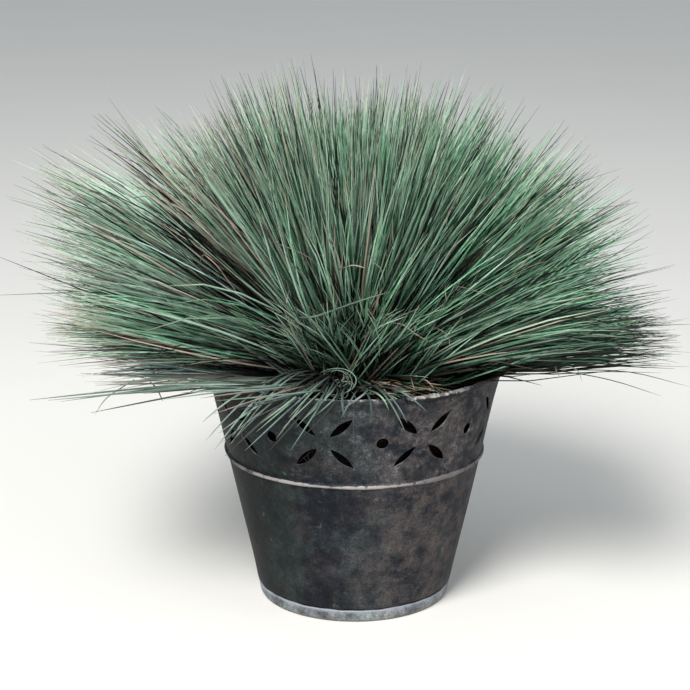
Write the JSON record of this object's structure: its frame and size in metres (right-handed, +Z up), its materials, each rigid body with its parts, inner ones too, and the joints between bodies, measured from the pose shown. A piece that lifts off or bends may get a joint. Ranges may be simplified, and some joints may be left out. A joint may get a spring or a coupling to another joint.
{
  "type": "potted blue fescue clump",
  "caption": "Clump of fine blue fescue grass in a tapered dark zinc pot with a punched flower band. It stands on a flat base; blades spread in a half dome and some hang over the rim.",
  "frame": {"origin": "middle of the pot's flat underside, on the surface it stands on", "axes": "+Z up along the pot's axis; the front, where the clump is open and shows its crown, faces -Y; +X to the right seen from the front"},
  "size_m": [0.3428, 0.2809, 0.2624],
  "materials": {
    "dark_zinc": "galvanised sheet with a dark, mottled pewter patina, dull, worn bright on bead and rim",
    "bare_zinc": "pale grey bare galvanised sheet, dull and slightly dirty",
    "compost": "dark peat and bark compost held by fine roots",
    "thatch": "dark purple-brown shoot bases with dry straw-coloured old leaves",
    "fescue": "waxy blue-green needle-fine leaf blades, low sheen, some green and some tan"
  },
  "bodies": {
    "root": {"crown": "thatch", "pot_base": "bare_zinc", "pot_wall": "dark_zinc", "root_ball": "compost", "tuft_hanging_01": "fescue", "tuft_hanging_02": "fescue", "tuft_hanging_03": "fescue", "tuft_hanging_04": "fescue", "tuft_hanging_05": "fescue", "tuft_high_01": "fescue", "tuft_high_02": "fescue", "tuft_high_03": "fescue", "tuft_high_04": "fescue", "tuft_high_05": "fescue", "tuft_high_06": "fescue", "tuft_high_07": "fescue", "tuft_high_08": "fescue", "tuft_high_09": "fescue", "tuft_high_10": "fescue", "tuft_low_01": "fescue", "tuft_low_02": "fescue", "tuft_low_03": "fescue", "tuft_low_04": "fescue", "tuft_low_05": "fescue", "tuft_low_06": "fescue", "tuft_low_07": "fescue", "tuft_low_08": "fescue", "tuft_low_09": "fescue", "tuft_low_10": "fescue", "tuft_low_11": "fescue", "tuft_low_12": "fescue", "tuft_low_13": "fescue", "tuft_low_14": "fescue", "tuft_middle_01": "fescue", "tuft_middle_02": "fescue", "tuft_middle_03": "fescue", "tuft_middle_04": "fescue", "tuft_middle_05": "fescue", "tuft_middle_06": "fescue", "tuft_middle_07": "fescue", "tuft_middle_08": "fescue", "tuft_middle_09": "fescue", "tuft_middle_10": "fescue", "tuft_middle_11": "fescue", "tuft_middle_12": "fescue", "tuft_middle_13": "fescue", "tuft_top_01": "fescue", "tuft_upper_01": "fescue", "tuft_upper_02": "fescue", "tuft_upper_03": "fescue", "tuft_upper_04": "fescue", "tuft_upper_05": "fescue"}
  },
  "joints": []
}
